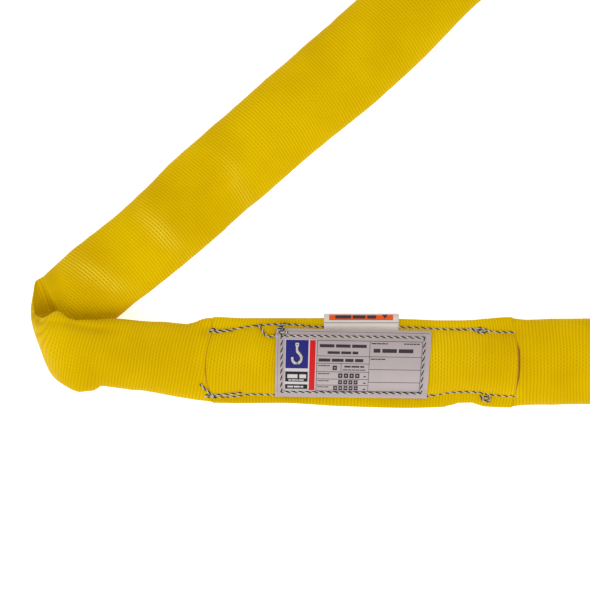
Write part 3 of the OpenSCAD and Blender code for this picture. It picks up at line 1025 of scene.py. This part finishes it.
def plyMaterial(name, colour):
    material, tree, shader = newMaterial(name, colour, 0.75)
    spot = tree.nodes.new("ShaderNodeTexCoord").outputs["Object"]
    tint = blendColour(tree, softNoise(tree, spot, 900, 2), shaded(colour, 0.6), shaded(colour, 1.35))
    tree.links.new(tint, shader.inputs["Base Color"])
    return material


blackPly = plyMaterial("blackPly", threadLook["black"])
ecruPly = plyMaterial("ecruPly", threadLook["ecru"])
threads = threadTree()


def threadPiece(name, node, lines, dip=threadLook["dip"], pitch=threadLook["pitch"]):
    curve = bpy.data.curves.new(name, "CURVE")
    curve.dimensions = "3D"
    for line in lines:
        spline = curve.splines.new("POLY")
        spline.points.add(len(line) - 1)
        for point, spot in zip(spline.points, line):
            point.co = (*place(*spot), 1)
    holder = bpy.data.objects.new(name + "Path", curve)
    bpy.context.scene.collection.objects.link(holder)
    modifier = holder.modifiers.new("thread", "NODES")
    modifier.node_group = threads
    values = {
        "Pitch": pitch * mm,
        "Dip": dip * mm,
        "Ply Radius": threadLook["plyRadius"] * mm,
        "Ply Offset": threadLook["plyOffset"] * mm,
        "Twist": threadLook["twist"] * mm,
        "Step": threadLook["step"] * mm,
        "First Ply": blackPly,
        "Second Ply": ecruPly,
    }
    for item in threads.interface.items_tree:
        if item.in_out == "INPUT" and item.name in values:
            modifier[item.identifier] = values[item.name]
    bpy.context.view_layer.update()
    made = holder.evaluated_get(bpy.context.evaluated_depsgraph_get())
    mesh = bpy.data.meshes.new_from_object(made)
    piece = bpy.data.objects.new(name, mesh)
    bpy.context.scene.collection.objects.link(piece)
    bpy.data.objects.remove(holder)
    mesh.shade_smooth()
    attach(piece, "sling")
    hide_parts(node)


threadUp = threadLook["plyRadius"] + threadLook["plyOffset"] - 0.15


# a line of thread on the sleeve through given places, resting on the cloth
def onCloth(places, under=False, lift=0.0):
    places = np.array(places, float)
    reach = lengthsAlong(places)
    at = np.linspace(0, reach[-1], max(3, int(reach[-1] / 0.8)))
    xy = through(np.column_stack((reach, places)), at)
    if under:
        z = midHeight - clothHeight(xy[:, 0], xy[:, 1]) - sewn["sleeveCloth"] - threadUp
    else:
        z = clothTop(xy[:, 0], xy[:, 1]) + threadUp + lift
    return [tuple(p) for p in np.column_stack((xy, z))]


def seamLine(rows, x0, x1):
    xs = np.linspace(x0, x1, max(3, int(abs(x1 - x0) / 6)))
    return [(x, float(through(rows, x)[0, 0]) + 0.25 * wave(x, 0, 7, 3.3)) for x in xs]


threadPiece("topHemThread", "top_hem_stitch", [
    onCloth(seamLine(topSeamRows, -109, -27)),
    onCloth(seamLine(topSeamRows, 27, 92)),
    onCloth(seamLine(topSeamRows, -109, 109), under=True),
])
threadPiece("bottomHemThread", "bottom_hem_stitch", [
    onCloth(seamLine(bottomSeamRows, -100, -63)),
    onCloth(seamLine(bottomSeamRows, 49, 92)),
    onCloth(seamLine(bottomSeamRows, -109, 109), under=True),
])
threadPiece("backtackTopLeft", "backtack_top_left", [
    onCloth([(-112.5, 22.4), (-110, 23.2), (-108, 22.8)]),
    onCloth([(-112, 23.4), (-107.5, 21.9), (-101, 22.6), (-95, 23.2)]),
    onCloth([(-112.4, 22.2), (-109.6, 24.2), (-106, 22.4)]),
])
threadPiece("backtackTopRight", "backtack_top_right", [
    onCloth(seamLine(topSeamRows, 93, 116)),
    onCloth([(80.5, 24.6), (86, 22.8), (91, 24.2), (98, 21.8)]),
    onCloth([(84, 24.6), (88, 22), (92, 21), (94, 23.4)]),
    onCloth([(85.5, 23.6), (90, 24.8), (95, 22)]),
])
threadPiece("backtackBottomLeft", "backtack_bottom_left", [
    onCloth(seamLine(bottomSeamRows, -119, -101)),
    onCloth([(-110, -25.4), (-100, -24.6), (-88.4, -23.4)]),
    onCloth([(-118, -26.8), (-113, -25), (-108, -27.2)]),
])
threadPiece("knotBottomRight", "knot_bottom_right", [
    onCloth(seamLine(bottomSeamRows, 93, 117)),
    onCloth([(89.5, -25.6), (92.4, -27), (95.5, -26.4), (97.4, -28)]),
    onCloth([(90.4, -27.2), (92, -29.4), (95, -30), (97, -28.6), (95.6, -26.8), (93, -27.4)], lift=0.5),
], pitch=3)


def labelLine(places):
    out = []
    for (ax, ay), (bx, by) in zip(places, places[1:]):
        steps = max(2, int(math.hypot(bx - ax, by - ay) / 1.2))
        for k in range(steps):
            x, y = ax + (bx - ax) * k / steps, ay + (by - ay) * k / steps
            out.append(tuple(labelSpot(x, y, threadUp)))
    out.append(tuple(labelSpot(*places[-1], threadUp)))
    return out


def onTop(x, y, up=0.0):
    z = float(clothTop([x], [y])[0]) + threadUp
    if -64 < x < 52 and -27 < y < 24.6:
        z = max(z, labelSpot(x + 63.5, y + 26.6, threadUp)[2])
    return (x, y, z + up)


def loose(places, up=0.0):
    places = np.array(places, float)
    reach = lengthsAlong(places)
    at = np.linspace(0, reach[-1], max(4, int(reach[-1] / 0.7)))
    xy = through(np.column_stack((reach, places)), at, free=True)
    return [onTop(float(x), float(y), up * math.sin(math.pi * k / (len(xy) - 1))) for k, (x, y) in enumerate(xy)]


inset, farEnd = 4.4, 111.2
threadPiece("labelThread", "label_stitch", [
    labelLine([(inset, inset - 0.6), (farEnd, inset - 0.6)]),
    labelLine([(farEnd, inset), (farEnd, 45.8)]),
    labelLine([(farEnd, 46.4), (inset, 46)]),
    labelLine([(inset, 45.6), (inset + 0.4, inset)]),
])
threadPiece("threadTail", "thread_tail", [
    loose([(-119.6, -16.8), (-117, -19.6), (-114, -22.4), (-111, -24.8), (-108.2, -26.4)], 0.8),
], dip=0)
threadPiece("threadLoop", "thread_loop", [
    loose([(-77, 26.9), (-74.6, 25.4), (-72.8, 22.6), (-70.6, 19.6), (-68, 18.6), (-63.4, 19.3)], 1.2),
    loose([(-55.6, 28.2), (-57.4, 27.6), (-59.4, 25.4), (-61, 22.6), (-59.4, 20), (-57.4, 19)], 0.8),
    loose([
        (-61.6, 24.4), (-59.4, 26), (-57.2, 24.6), (-57.6, 22), (-60, 21),
        (-61.4, 23), (-59, 24.6), (-56, 23.2), (-54.4, 21),
    ], 1.2),
], dip=0)
print("threads sewn")

# floor and light
stageLook = {"floor": (0.92, 0.92, 0.92), "size": 6, "glow": 0.6, "sky": 0.8, "key": 30, "keySize": 1.6}
reach = stageLook["size"]
floorSpots = [(x * reach, y * reach, -0.0005) for x, y in ((-1, -1), (1, -1), (1, 1), (-1, 1))]
floorMesh = newMesh("floor", floorSpots, [(0, 1, 2, 3)])
floorMaterial, _, floorShader = newMaterial("floor", stageLook["floor"], 0.9)
floorShader.inputs["Emission Color"].default_value = (1, 1, 1, 1)
floorShader.inputs["Emission Strength"].default_value = stageLook["glow"]  # lifts the shadows
floorMesh.data.materials.append(floorMaterial)
world = bpy.data.worlds.new("studio")
bpy.context.scene.world = world
world.use_nodes = True
world.node_tree.nodes["Background"].inputs["Color"].default_value = (1, 1, 1, 1)
world.node_tree.nodes["Background"].inputs["Strength"].default_value = stageLook["sky"]


def areaLight(name, spot, aim, size, power):
    data = bpy.data.lights.new(name, "AREA")
    data.size, data.energy = size, power
    light = bpy.data.objects.new(name, data)
    bpy.context.scene.collection.objects.link(light)
    light.location = spot
    light.rotation_euler = (Vector(aim) - Vector(spot)).to_track_quat("-Z", "Y").to_euler()


keySpot = (jointAt.x - 0.3, jointAt.y - 1.3, 2.3)
areaLight("key", keySpot, (jointAt.x, jointAt.y, 0), stageLook["keySize"], stageLook["key"])
print("floor and light set")
